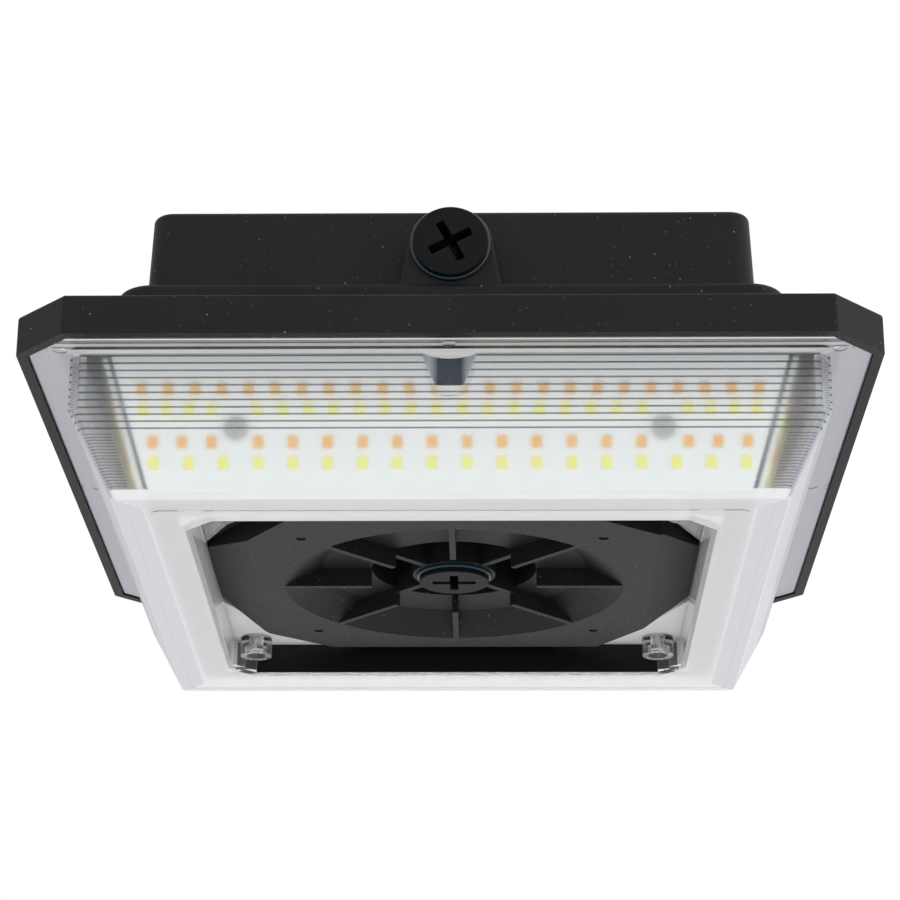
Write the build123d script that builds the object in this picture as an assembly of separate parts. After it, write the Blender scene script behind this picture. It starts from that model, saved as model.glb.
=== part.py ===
from build123d import *
import math
import os

# A square, ceiling mounted LED light. Millimetres, +Z up, the front looks along -Y.
# The origin is the centre of the face that meets the ceiling, so the light hangs below z = 0.

# Housing: box against the ceiling, stepped plinth, wide flange and its turned-down skirt
housing_width = 260.0
housing_corner_cut = 16.0
skirt_height = 12.7
skirt_wall = 3.2
flange_thickness = 7.2
flange_edge_round = 1.2
plinth_width = 206.6
plinth_height = 16.1
plinth_corner_radius = 11.7
plinth_wall = 3.0
plinth_edge_round = 2.0
box_top_width = 187.6
box_side_draft = 1.0
box_height = 29.0
box_corner_radius = 6.6
box_wall = 4.2
box_edge_round = 1.8
housing_tab_width = 20.0
housing_tab_end = 7.0
housing_tab_thickness = 3.5
joint_overlap = 1.0

# Back cover that closes the box, flush with its rim
cover_thickness = 1.8
cover_gasket_thickness = 1.5
cover_rim = 2.3
cover_edge_gap = 0.3
cover_post_inset = 6.0
cover_post_radius = 6.6
cover_post_length = 20.0
cover_hole_length = 16.0
wire_hole_radius = 11.1
wide_slot_spacing = 88.9
narrow_slot_spacing = 69.85
slot_width = 4.8
slot_length = 12.0

# Conduit entries at the front and the rear, and the threaded hub in the middle
conduit_radius = 10.4
conduit_boss_radius = 13.4
conduit_boss_foot_half = 16.0
conduit_boss_reach = 7.4
conduit_top_gap = 2.3
conduit_boss_round = 1.6
hub_radius = 13.8
hub_recess = 4.2

# Threaded plugs and their seals
plug_thread_clearance = 0.08
plug_length = 12.0
plug_disc_radius = 11.65
plug_disc_thickness = 1.6
plug_slot_length = 14.4
plug_slot_width = 2.8
plug_slot_depth = 9.0
front_slot_turn = -28.0
seal_thickness = 1.2
seal_outer_radius = 12.45
seal_bore_clearance = 0.15
seal_round_share = 0.4
plug_edge_bevel = 0.3
plug_thread_bevel = 0.8

# Light core: leaning sides that carry the boards, foot ring, centre plate and bowl
core_foot_drop = 37.0
core_wall = 4.0
core_corner_radius = 3.0
core_window_gap = 0.7
core_floor_rise = 12.5
board_foot_gap = 1.0
board_floor_gap = 7.2
board_side_gap = 6.0
plate_drop = 35.0
plate_slope_run_x = 14.3
plate_slope_run_y = 12.8
plate_slope_height = 5.0
slope_gap = 0.5
pocket_end_gap = 2.0
pocket_corner_gap_x = 9.0
pocket_corner_gap_y = 13.0
gusset_gap = 0.3
bowl_rim_inset = 9.0
bowl_wall_run = 12.5
bowl_depth = 6.3
rib_count = 8
rib_thickness = 2.0
rib_overlap = 0.5
well_radius = 27.5
well_depth = 23.0
well_wall = 3.0
web_thickness = 2.4
mark_inset = 17.5
mark_radius = 1.6
mark_depth = 0.5
core_post_radius = 5.0
core_post_inset = 10.3

# Lens
lens_wall = 2.5
lens_flange_thickness = 3.0
lens_flange_gap = 0.1
lens_side_inset = 12.6
lens_side_height = 16.4
lens_floor_half = 101.2
lens_drop = 41.3
lens_corner_radius = 3.0
flute_start = 0.8
flute_pitch = 2.37
flute_count = 7
slope_flute_start = 0.2
slope_flute_pitch = 1.87
slope_flute_count = 4
flute_groove = 0.4
flute_depth = 0.2
lens_turn_share = 0.3
lens_flange_bevel = 0.7
window_bevel_width = 1.6
window_bevel_height = 0.8
floor_ring_width = 20.9
window_corner_cut = 8.1
gusset_thickness = 2.0
gusset_start = 28.0
gusset_corner_inset = 14.3
gusset_corner_run = 7.0
tube_inset = 8.3
tube_radius = 5.6
tube_length = 8.8
tube_head_recess = 1.2
rim_tab_half = 1.5
rim_slot_width = 0.6
rim_slot_depth = 1.4
pad_radius = 2.2
pad_depth = 0.4
floor_step_depth = 0.25
floor_step_insets = (3.5, 10.5)
mid_scoop_top_radius = 10.3
mid_scoop_low_radius = 7.4
mid_scoop_depth = 10.5
mid_scoop_inset = 6.2
corner_scoop_inset = 10.4
corner_scoop_radius = 6.2
corner_scoop_depth = 24.0

# Gaskets of the lens
outer_gasket_thickness = 2.0
outer_gasket_width = 4.5
outer_gasket_inset = 1.4
outer_gasket_corner_cut = 7.5
inner_gasket_thickness = 1.5
inner_gasket_side_gap = 0.2

# Boards and light sources
board_thickness = 1.6
board_pad = 0.1
board_height = 41.0
board_corner_gap = 3.0
led_width = 2.8
led_length = 3.5
led_height = 0.7
led_end_gap = 3.0
led_screw_gap = 5.0
led_outer_gap = 7.4
board_screw_x = 64.5
board_screw_drop = 22.0

# One entry per row: drop from the board's top edge, pitch of the light sources, their pitch beyond
# the screw where the row stops at the screw and starts again, and the light's tint
led_rows = (
    (10.45, 8.1, 0.0, "warm"),
    (16.35, 7.75, 6.9, "cool"),
    (26.25, 10.5, 8.9, "warm"),
    (32.6, 10.5, 0.0, "cool"),
)

# Screws
cover_screw_radius = 2.0
cover_screw_head_radius = 3.5
cover_screw_head_height = 1.5
cover_screw_end_gap = 2.0
tube_screw_radius = 1.75
tube_screw_head_radius = 3.2
tube_screw_head_height = 1.8
tube_screw_grip = 7.0
tube_boss_wall = 2.6
tube_boss_cap = 2.0
board_screw_radius = 1.5
board_screw_head_radius = 3.5
board_screw_grip = 3.4
core_screw_radius = 2.5
core_screw_head_radius = 4.6
core_screw_grip = 12.0
small_screw_radius = 1.5
small_screw_head_radius = 3.0
small_screw_grip = 3.0
screw_clearance = 0.25
thread_clearance = 0.05
thread_end_gap = 0.3

# Forms of the screw heads, as shares of their radius or height
pan_head_share = 0.55
pan_head_round = 0.35
recess_length = 1.1
recess_width = 0.26
pan_recess_depth = 0.6
flat_recess_depth = 0.7

# Driver and selector inside the housing
driver_post_gap = 5.8
driver_boss_gap = 8.65
driver_height = 30.0
driver_wall = 1.2
driver_lid_thickness = 1.5
driver_lid_lip = 2.0
driver_lid_gap = 0.2
driver_well_gap = 2.0
driver_tab_length = 12.0
driver_tab_width = 12.0
selector_post_gap = 6.3
selector_depth = 26.0
selector_height = 18.0
selector_well_gap = 9.5
selector_foot_width = 12.0
selector_foot_reach = 8.0
selector_foot_thickness = 2.0
selector_knob_width = 6.0
selector_knob_depth = 3.6
selector_knob_height = 5.0
selector_travel = 3.0
selector_slot_depth = 2.5
selector_running_gap = 0.3
selector_knob_bevel = 0.6
ground_screw_x = -52.0
ground_screw_y = 54.0
ground_screw_radius = 2.0
ground_pad_radius = 5.5
ground_pad_height = 2.0

# Heights of the main faces
plinth_top_z = -box_height
flange_top_z = plinth_top_z - plinth_height
skirt_bottom_z = flange_top_z - skirt_height
seat_z = flange_top_z - flange_thickness
cover_low_z = -cover_thickness
cover_seat_z = cover_low_z - cover_gasket_thickness
conduit_z = -conduit_boss_radius - conduit_top_gap
core_foot_z = skirt_bottom_z - core_foot_drop
core_floor_z = core_foot_z + core_floor_rise
plate_z = skirt_bottom_z - plate_drop
slope_top_z = plate_z + plate_slope_height
bowl_top_z = plate_z + bowl_depth
well_top_z = plate_z + well_depth
hub_face_z = plate_z + hub_recess
lens_flange_low_z = seat_z - outer_gasket_thickness - lens_flange_thickness
lens_flange_top_z = lens_flange_low_z + lens_flange_thickness
lens_side_low_z = skirt_bottom_z - lens_side_height
lens_floor_z = skirt_bottom_z - lens_drop
gusset_low_z = slope_top_z
gusset_top_z = gusset_low_z + gusset_thickness
groove_top_z = gusset_top_z + inner_gasket_thickness
pocket_top_z = gusset_top_z + gusset_gap
board_low_z = core_foot_z + board_foot_gap

# Share by which a corner cut at 45 degrees shrinks when a square outline moves in by one
CUT_SHRINK = 2 - math.sqrt(2)

# Widths of the housing and the lens, from the outside in
box_bottom_width = box_top_width + 2 * box_side_draft
box_inner_half = box_top_width / 2 - box_wall
recess_half = box_top_width / 2 - cover_rim
cover_half = recess_half - cover_edge_gap
cover_post_place = box_inner_half - cover_post_inset
plinth_inner_half = plinth_width / 2 - plinth_wall
lens_flange_half = housing_width / 2 - skirt_wall - lens_flange_gap
lens_flange_cut = housing_corner_cut - CUT_SHRINK * (skirt_wall + lens_flange_gap)
lens_side_half = lens_flange_half - lens_side_inset
window_half = lens_floor_half - floor_ring_width
inner_wall_half = window_half + lens_wall
mid_scoop_place = lens_flange_half - mid_scoop_inset
corner_scoop_place = lens_flange_half - corner_scoop_inset
tube_centre = window_half - tube_inset
tube_boss_radius = tube_screw_radius + tube_boss_wall
gusset_corner_x = window_half - gusset_corner_inset
gusset_corner_y = gusset_corner_x - gusset_corner_run

# Boards: they lean from beside the lens floor to beside the lens sides
board_face_half_low = lens_floor_half - board_floor_gap
board_face_half_top = lens_side_half - lens_wall - board_side_gap
lean = math.asin((board_face_half_top - board_face_half_low) / board_height)
board_top_z = board_low_z + board_height * math.cos(lean)
led_outer_start = board_screw_x + led_outer_gap

# Core inside the window of the lens
foot_inner_half = inner_wall_half + core_window_gap
slope_half = window_half - slope_gap
plate_length_x = 2 * (slope_half - plate_slope_run_x)
plate_length_y = 2 * (slope_half - plate_slope_run_y)
pocket_start = gusset_start - pocket_end_gap
pocket_corner_x = gusset_corner_y - pocket_corner_gap_x
pocket_corner_y = gusset_corner_y - pocket_corner_gap_y
bowl_rim_radius = plate_length_x / 2 - bowl_rim_inset
bowl_floor_radius = bowl_rim_radius - bowl_wall_run
mark_place = plate_length_x / 2 - mark_inset

# Places along the axes and heights of screws and plugs
boss_face_y = -(box_bottom_width / 2 + conduit_boss_reach)
tube_low_z = gusset_top_z - tube_length
tube_head_z = tube_low_z + tube_head_recess + tube_screw_head_height
plug_radius = conduit_radius - plug_thread_clearance


def led_face_half(z):
    """Distance from the middle to the front of a board, at a height."""
    return board_face_half_low + (z - board_low_z) * math.tan(lean)


def core_half(z):
    """Distance from the middle to the leaning outside of the core, at a height."""
    return led_face_half(z) - (board_thickness + board_pad) / math.cos(lean)


# Driver and selector: they fill the floor of the core between its well and its posts
core_post_place = core_half(core_floor_z) - core_post_inset
core_post_face = core_post_place - core_post_radius
housing_tab_length = plinth_inner_half - core_post_place + housing_tab_end
driver_start = well_radius + well_wall + driver_well_gap
driver_width = core_post_face - driver_post_gap - driver_start
driver_length = 2 * (tube_centre - tube_boss_radius - driver_boss_gap)
driver_x = driver_start + driver_width / 2
selector_start = well_radius + well_wall + selector_well_gap
selector_width = core_post_face - selector_post_gap - selector_start
selector_x = -(selector_start + selector_width / 2)

SIDES = {"front": 0, "right": 90, "rear": 180, "left": 270}
LOW = (Align.CENTER, Align.CENTER, Align.MIN)
HIGH = (Align.CENTER, Align.CENTER, Align.MAX)
CORNERS = ((1, 1), (-1, 1), (-1, -1), (1, -1))


def slab(outline, z_low, z_high):
    """A flat outline raised from one height to another."""
    return extrude(Pos(0, 0, z_low) * outline, z_high - z_low)


def square(half, radius=0.0):
    """A square outline, with round corners where a radius is given."""
    if radius > 0:
        return RectangleRounded(2 * half, 2 * half, radius)
    return Rectangle(2 * half, 2 * half)


def cut_square(half, cut):
    """A square outline with its corners cut off at 45 degrees."""
    return chamfer(Rectangle(2 * half, 2 * half).vertices(), cut)


def taper(half_low, z_low, half_high, z_high, radius):
    """A square block whose sides lean between two heights."""
    low = Pos(0, 0, z_low) * square(half_low, radius)
    high = Pos(0, 0, z_high) * square(half_high, radius)
    return loft([low.face(), high.face()], ruled=True)


def post(x, y, radius, z_low, z_high):
    """An upright cylinder."""
    return Pos(x, y, z_low) * Cylinder(radius, z_high - z_low, align=LOW)


def around(shape):
    """Four copies of a shape, one on each side of the light."""
    return [Rot(0, 0, turn) * shape for turn in SIDES.values()]


def screw(head_radius, head_height, shank_radius, shank_length):
    """A pan head screw with a cross recess, head up, its head standing on z = 0."""
    head = Cylinder(head_radius, head_height, align=LOW)
    head = fillet(head.edges().group_by(Axis.Z)[-1], head_height * pan_head_round)
    shank = Cylinder(shank_radius, shank_length, align=HIGH)
    arm_length = head_radius * recess_length
    arm_width = head_radius * recess_width
    arm_depth = head_height * pan_recess_depth
    slot = Box(arm_length, arm_width, 2 * arm_depth) + Box(arm_width, arm_length, 2 * arm_depth)
    return head + shank - Pos(0, 0, head_height) * slot


def screw_head_height(head_radius):
    """Height of a pan head of the given radius."""
    return head_radius * pan_head_share


def board_plane():
    """Plane of the front board's outer face, with its origin at the middle of the top edge."""
    return Plane(
        origin=(0, -board_face_half_top, board_top_z),
        x_dir=(1, 0, 0),
        z_dir=(0, -math.cos(lean), -math.sin(lean)),
    )


def conduit_boss():
    """Front conduit boss: a round end with sides that spread towards the flange."""
    spread = conduit_boss_foot_half
    drop = conduit_z - plinth_top_z
    reach = math.hypot(spread, drop)
    turn = math.atan2(-drop, spread) + math.acos(conduit_boss_radius / reach)
    side_x = conduit_boss_radius * math.cos(turn)
    side_z = conduit_z + conduit_boss_radius * math.sin(turn)
    half = Polyline((0, flange_top_z), (spread, flange_top_z), (spread, plinth_top_z), (side_x, side_z))
    top = ThreePointArc((side_x, side_z), (0, conduit_z + conduit_boss_radius), (-side_x, side_z))
    other = Polyline((-side_x, side_z), (-spread, plinth_top_z), (-spread, flange_top_z), (0, flange_top_z))
    outline = make_face(half + top + other)
    boss = extrude(Plane.XZ.offset(-boss_face_y) * outline, boss_face_y + box_inner_half + joint_overlap)
    return fillet(boss.faces().sort_by(Axis.Y)[0].edges(), conduit_boss_round)


def conduit_bore():
    """Hole through the front conduit boss into the box."""
    length = -boss_face_y - box_inner_half + 2 * joint_overlap
    start = Pos(0, boss_face_y - joint_overlap, conduit_z)
    return start * Rot(-90, 0, 0) * Cylinder(conduit_radius, length, align=LOW)


def housing():
    """Housing casting: box, plinth, flange and skirt, open below and closed above by the cover."""
    flange = slab(cut_square(housing_width / 2, housing_corner_cut), skirt_bottom_z, flange_top_z)
    flange_edges = flange.edges().filter_by(Axis.Z) + flange.edges().group_by(Axis.Z)[-1]
    flange = fillet(flange_edges, flange_edge_round)
    plinth = slab(square(plinth_width / 2, plinth_corner_radius), flange_top_z, plinth_top_z)
    plinth = fillet(plinth.edges().group_by(Axis.Z)[-1], plinth_edge_round)
    box = taper(box_bottom_width / 2, plinth_top_z, box_top_width / 2, 0, box_corner_radius)
    box = fillet(box.edges().group_by(Axis.Z)[-1], box_edge_round)
    body = flange + plinth + box
    body = body + [conduit_boss(), Rot(0, 0, 180) * conduit_boss()]
    skirt_half = housing_width / 2 - skirt_wall
    skirt_cut = housing_corner_cut - CUT_SHRINK * skirt_wall
    plinth_inner_radius = plinth_corner_radius - plinth_wall
    box_inner_radius = box_corner_radius - cover_rim
    body = body - [
        slab(cut_square(skirt_half, skirt_cut), skirt_bottom_z, seat_z),
        slab(square(plinth_inner_half, plinth_inner_radius), seat_z, plinth_top_z - plinth_wall),
        slab(square(box_inner_half, box_inner_radius), seat_z, 0),
        slab(square(recess_half, box_inner_radius), cover_seat_z, 0),
    ]
    body = body + cover_posts() + around(housing_tab())
    holes = [conduit_bore(), Rot(0, 0, 180) * conduit_bore()]
    for x, y in CORNERS:
        hole_radius = cover_screw_radius + thread_clearance
        hole_z = cover_seat_z - cover_hole_length
        holes.append(post(x * cover_post_place, y * cover_post_place, hole_radius, hole_z, 0))
    tab_hole_radius = core_screw_radius + screw_clearance
    holes = holes + around(post(0, -core_post_place, tab_hole_radius, seat_z, plinth_top_z))
    return body - holes


def cover_posts():
    """Corner posts inside the box that take the cover's screws."""
    place = cover_post_place
    low = cover_seat_z - cover_post_length
    return [post(x * place, y * place, cover_post_radius, low, cover_seat_z) for x, y in CORNERS]


def housing_tab():
    """Front tab inside the plinth that the core hangs from."""
    length = housing_tab_length + joint_overlap
    tab = Box(housing_tab_width, length, housing_tab_thickness, align=LOW)
    return Pos(0, length / 2 - plinth_inner_half - joint_overlap, seat_z) * tab


def scoop_places():
    """Places round the lens flange that have a scoop: middles of the sides and corners."""
    places = []
    for turn in SIDES.values():
        angle = math.radians(turn)
        places.append((mid_scoop_place * math.sin(angle), -mid_scoop_place * math.cos(angle)))
    for x, y in CORNERS:
        places.append((x * corner_scoop_place, y * corner_scoop_place))
    return places


def light_core():
    """Core casting: board carrier, foot ring, centre plate with its bowl, ribs and threaded hub."""
    body = taper(core_half(core_foot_z), core_foot_z, core_half(seat_z), seat_z, core_corner_radius)
    wall = core_wall / math.cos(lean)
    floor_half = core_half(core_floor_z) - wall
    body = body - taper(floor_half, core_floor_z, core_half(seat_z) - wall, seat_z, core_corner_radius)
    body = body - slab(square(foot_inner_half), core_foot_z, groove_top_z)
    body = body + [centre_pan(), post(0, 0, well_radius + well_wall, core_floor_z, well_top_z + well_wall)]
    body = body - (around(corner_pocket()) + [seal_groove(), bowl()])
    body = body + [Rot(0, 0, 360 / rib_count * step) * rib() for step in range(rib_count)]
    body = body + hub()
    body = body + around(core_post()) + tube_screw_bosses() + [earth_pad()]
    return body - core_holes()


def core_holes():
    """Threaded hub, marks in the plate and holes for all screws that go into the core."""
    holes = [post(0, 0, conduit_radius, hub_face_z, well_top_z + well_wall)]
    tube_hole_radius = tube_screw_radius + thread_clearance
    tube_hole_top = gusset_top_z + tube_screw_grip + thread_end_gap
    mark = Cylinder(mark_radius, 2 * mark_depth)
    for x, y in CORNERS:
        holes.append(Pos(x * mark_place, y * mark_place, plate_z) * mark)
        holes.append(post(x * tube_centre, y * tube_centre, tube_hole_radius, gusset_top_z, tube_hole_top))
    post_hole_radius = core_screw_radius + thread_clearance
    holes = holes + around(post(0, -core_post_place, post_hole_radius, seat_z - core_screw_grip, seat_z))
    board_hole_length = board_screw_grip + thread_end_gap
    board_hole = Cylinder(board_screw_radius + thread_clearance, board_hole_length, align=HIGH)
    for x in (-board_screw_x, board_screw_x):
        place = Pos(x, -board_screw_drop, -board_thickness)
        holes = holes + around(board_plane() * (place * board_hole))
    for x, y, radius in floor_screw_places():
        hole_z = core_floor_z - small_screw_grip - thread_end_gap
        holes.append(post(x, y, radius + thread_clearance, hole_z, seat_z))
    return holes


def seal_groove():
    """Groove in the edge of the centre plate for the window wall of the lens and its gasket."""
    outer = slab(cut_square(foot_inner_half, window_corner_cut), plate_z, groove_top_z)
    return outer - slab(cut_square(slope_half, window_corner_cut), plate_z, groove_top_z)


def centre_pan():
    """Plate in the middle with its sloping edges, up to the floor of the core."""
    low = Pos(0, 0, plate_z) * Rectangle(plate_length_x, plate_length_y)
    high = Pos(0, 0, slope_top_z) * square(slope_half)
    slopes = loft([low.face(), high.face()], ruled=True)
    return slopes + slab(square(slope_half), slope_top_z, core_floor_z)


def corner_pocket():
    """Recess in one corner of the plate that clears the gusset of the lens."""
    points = (
        (foot_inner_half, pocket_start),
        (slope_half, pocket_start),
        (plate_length_x / 2, pocket_corner_y),
        (pocket_corner_x, plate_length_y / 2),
        (pocket_start, slope_half),
        (pocket_start, foot_inner_half),
        (foot_inner_half, foot_inner_half),
    )
    return slab(make_face(Polyline(*points, close=True)), plate_z - joint_overlap, pocket_top_z)


def bowl():
    """Shallow bowl in the centre plate and the deeper well round the hub."""
    cone = Pos(0, 0, plate_z) * Cone(bowl_rim_radius, bowl_floor_radius, bowl_depth, align=LOW)
    return cone + post(0, 0, well_radius, plate_z, well_top_z)


def rib():
    """One radial rib across the bowl, flush with the plate."""
    length = bowl_rim_radius + rib_overlap - well_radius
    height = bowl_depth + rib_overlap
    return Pos(well_radius + length / 2, 0, plate_z) * Box(length, rib_thickness, height, align=LOW)


def hub():
    """Round hub in the well, with a web on each diagonal that reaches the wall of the well."""
    height = well_top_z + rib_overlap - hub_face_z
    reach = 2 * (well_radius + joint_overlap)
    web = Box(reach, web_thickness, height, align=LOW)
    cross = Rot(0, 0, 45) * web + Rot(0, 0, -45) * web
    return Pos(0, 0, hub_face_z) * (Cylinder(hub_radius, height, align=LOW) + cross)


def core_post():
    """Front post inside the core, for the screw that hangs it from the housing."""
    wall_y = core_half(core_floor_z) - core_wall / 2
    low = core_floor_z - rib_overlap
    column = post(0, -core_post_place, core_post_radius, low, seat_z)
    web = Box(core_post_radius, wall_y - core_post_place, seat_z - low, align=LOW)
    return column + Pos(0, -(wall_y + core_post_place) / 2, low) * web


def tube_screw_bosses():
    """Bosses on the floor of the core over the screws in the corners of the window."""
    bosses = []
    for x, y in CORNERS:
        top_z = gusset_top_z + tube_screw_grip + tube_boss_cap
        low = core_floor_z - rib_overlap
        bosses.append(post(x * tube_centre, y * tube_centre, tube_boss_radius, low, top_z))
    return bosses


def floor_screw_places():
    """Places and radii of the small screws that go down into the floor of the core."""
    tab_y = driver_length / 2 + driver_tab_length / 2
    selector_y = selector_depth / 2 + selector_foot_reach / 2
    return (
        (driver_x, tab_y, small_screw_radius),
        (driver_x, -tab_y, small_screw_radius),
        (selector_x, selector_y, small_screw_radius),
        (selector_x, -selector_y, small_screw_radius),
        (ground_screw_x, ground_screw_y, ground_screw_radius),
    )


def earth_pad():
    """Pad on the floor of the core for the earth screw."""
    top = core_floor_z + ground_pad_height
    return post(ground_screw_x, ground_screw_y, ground_pad_radius, core_floor_z - rib_overlap, top)


def back_cover():
    """Steel plate that closes the box, with wire hole and slots for a junction box."""
    body = slab(square(cover_half, box_corner_radius - cover_rim), cover_low_z, 0)
    body = body - post(0, 0, wire_hole_radius, cover_low_z, 0)
    for x in (-wide_slot_spacing / 2, wide_slot_spacing / 2):
        body = body - slab(Pos(x, 0) * SlotOverall(slot_length, slot_width), cover_low_z, 0)
    for y in (-narrow_slot_spacing / 2, narrow_slot_spacing / 2):
        body = body - slab(Pos(0, y) * SlotOverall(slot_length, slot_width, rotation=90), cover_low_z, 0)
    for x, y in CORNERS:
        place = Pos(x * cover_post_place, y * cover_post_place, 0)
        body = body - place * cover_screw_form(screw_clearance, cover_thickness)
    return body


def cover_screw_form(growth, length):
    """Flat head and shank below the ceiling face, grown by a clearance where wanted."""
    shank_radius = cover_screw_radius + growth
    head = Cone(shank_radius, cover_screw_head_radius + growth, cover_screw_head_height, align=HIGH)
    return head + Cylinder(shank_radius, length, align=HIGH)


def back_cover_gasket():
    """Thin gasket between the cover, the ledge of the box and its corner posts."""
    radius = box_corner_radius - cover_rim
    ring = slab(square(cover_half, radius), cover_seat_z, cover_low_z)
    ring = ring - slab(square(box_inner_half + cover_edge_gap, radius), cover_seat_z, cover_low_z)
    return ring


def lens_scoops(growth):
    """Scoops under the lens flange, at its sides and corners, grown by a wall thickness where wanted."""
    low = lens_flange_low_z
    cone_low_radius = mid_scoop_low_radius + growth
    cone_top_radius = mid_scoop_top_radius + growth
    cone = Cone(cone_low_radius, cone_top_radius, mid_scoop_depth + growth, align=HIGH)
    scoops = around(Pos(0, -mid_scoop_place, low) * cone)
    for x, y in CORNERS:
        place = corner_scoop_place
        depth = corner_scoop_depth + growth
        scoops.append(post(x * place, y * place, corner_scoop_radius + growth, low - depth, low))
    return scoops


def lens_outside_half(z):
    """Distance from the middle to the outside of the lens, at a height."""
    lean_in = (lens_side_half - lens_floor_half) / (lens_side_low_z - lens_floor_z)
    return lens_side_half - max(0.0, lens_side_low_z - z) * lean_in


def flute_heights():
    """Heights of the grooves round the lens: down its sides, then down the start of its slope."""
    side = [lens_flange_low_z - flute_start - step * flute_pitch for step in range(flute_count)]
    start = lens_side_low_z - slope_flute_start - flute_groove / 2
    return side + [start - step * slope_flute_pitch for step in range(slope_flute_count)]


def lens_outside():
    """Outer shape of the lens below its flange, with fine grooves that run round its upper part."""
    sections = [(lens_flange_low_z, 0.0), (lens_side_low_z, 0.0), (lens_floor_z, 0.0)]
    for middle in flute_heights():
        sections.append((middle + flute_groove / 2, 0.0))
        sections.append((middle, flute_depth))
        sections.append((middle - flute_groove / 2, 0.0))
    faces = []
    for z, depth in sorted(sections):
        faces.append((Pos(0, 0, z) * square(lens_outside_half(z) - depth, lens_corner_radius)).face())
    return loft(faces, ruled=True)


def lens_inside():
    """Hollow of the lens above its floor ring."""
    low_z = lens_floor_z + lens_wall
    turn_z = lens_side_low_z + lens_wall * lens_turn_share
    side_half = lens_side_half - lens_wall
    lean_in = (lens_side_half - lens_floor_half) / (lens_side_low_z - lens_floor_z)
    low_half = side_half - (turn_z - low_z) * lean_in
    slope = taper(low_half, low_z, side_half, turn_z, lens_corner_radius)
    return slope + slab(square(side_half, lens_corner_radius), turn_z, lens_flange_top_z)


def floor_step():
    """Shallow step that runs round the middle of the lens floor."""
    outer_inset, inner_inset = floor_step_insets
    top_z = lens_floor_z + floor_step_depth
    outer = slab(square(lens_floor_half - outer_inset, lens_corner_radius), lens_floor_z, top_z)
    return outer - slab(square(lens_floor_half - inner_inset, lens_corner_radius), lens_floor_z, top_z)


def window_hole():
    """Hole through the middle of the lens, with a bevel at its lower edge."""
    low_cut = window_corner_cut + CUT_SHRINK * window_bevel_width
    low = Pos(0, 0, lens_floor_z) * cut_square(window_half + window_bevel_width, low_cut)
    high = Pos(0, 0, lens_floor_z + window_bevel_height) * cut_square(window_half, window_corner_cut)
    bevel = loft([low.face(), high.face()], ruled=True)
    return bevel + slab(cut_square(window_half, window_corner_cut), lens_floor_z, gusset_top_z)


def lens():
    """Clear lens: flange, fluted and sloping sides, floor ring, window wall and corner gussets."""
    outside = lens_outside() - lens_scoops(0)
    inside = lens_inside() - lens_scoops(lens_wall)
    flange = slab(cut_square(lens_flange_half, lens_flange_cut), lens_flange_low_z, lens_flange_top_z)
    flange = chamfer(flange.edges().group_by(Axis.Z)[0], lens_flange_bevel)
    window_wall = slab(cut_square(inner_wall_half, window_corner_cut), lens_floor_z, gusset_top_z)
    body = flange + outside - (inside - window_wall) - window_hole()
    body = body + (around(window_gusset()) + lens_tubes(tube_radius, gusset_top_z))
    return body - (
        lens_tubes(tube_screw_head_radius + screw_clearance, tube_head_z)
        + lens_tubes(tube_screw_radius + screw_clearance, gusset_top_z)
        + lens_pads()
        + rim_slots()
        + [floor_step()]
    )


def lens_pads():
    """Shallow round marks under the lens flange, one over each scoop."""
    top_z = lens_flange_low_z + pad_depth
    return [post(x, y, pad_radius, lens_flange_low_z, top_z) for x, y in scoop_places()]


def lens_tubes(radius, z_high):
    """Upright cylinders at the corner tubes of the window."""
    return [post(x * tube_centre, y * tube_centre, radius, tube_low_z, z_high) for x, y in CORNERS]


def window_gusset():
    """Flat plate across one corner of the window, at the top of its wall."""
    edge = window_half + lens_wall / 2
    points = (
        (edge, gusset_start),
        (gusset_corner_x, gusset_corner_y),
        (gusset_corner_y, gusset_corner_x),
        (gusset_start, edge),
        (edge - window_corner_cut, edge),
        (edge, edge - window_corner_cut),
    )
    return slab(make_face(Polyline(*points, close=True)), gusset_low_z, gusset_top_z)


def rim_slots():
    """Slots that free a snap tab in the edge of the lens flange, at its sides and corners."""
    slot = Box(rim_slot_width, 2 * rim_slot_depth, lens_flange_thickness, align=LOW)
    corner_distance = math.sqrt(2) * lens_flange_half - lens_flange_cut / math.sqrt(2)
    offset = rim_tab_half + rim_slot_width / 2
    slots = []
    for turn in SIDES.values():
        for x in (-offset, offset):
            slots.append(Rot(0, 0, turn) * Pos(x, -lens_flange_half, lens_flange_low_z) * slot)
            slots.append(Rot(0, 0, turn + 45) * Pos(x, -corner_distance, lens_flange_low_z) * slot)
    return slots


def lens_outer_gasket():
    """Gasket between the lens flange and the housing, over the top of the lens walls."""
    inner = lens_side_half - lens_wall + outer_gasket_inset
    outer = inner + outer_gasket_width
    outer_cut = 2 * outer - 2 * corner_scoop_place + outer_gasket_corner_cut - 2 * outer_gasket_inset
    inner_cut = outer_cut - CUT_SHRINK * outer_gasket_width
    ring = slab(cut_square(outer, outer_cut), lens_flange_top_z, seat_z)
    return ring - slab(cut_square(inner, inner_cut), lens_flange_top_z, seat_z)


def lens_inner_gasket():
    """Gasket on the top edge of the window wall, in the groove of the core."""
    outer = foot_inner_half - inner_gasket_side_gap
    inner = slope_half + inner_gasket_side_gap
    ring = slab(cut_square(outer, window_corner_cut), gusset_top_z, groove_top_z)
    return ring - slab(cut_square(inner, window_corner_cut), gusset_top_z, groove_top_z)


def board_half_length(drop):
    """Half the length of a board, at a drop from its top edge."""
    return board_face_half_top - drop * math.sin(lean) - board_corner_gap


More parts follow.
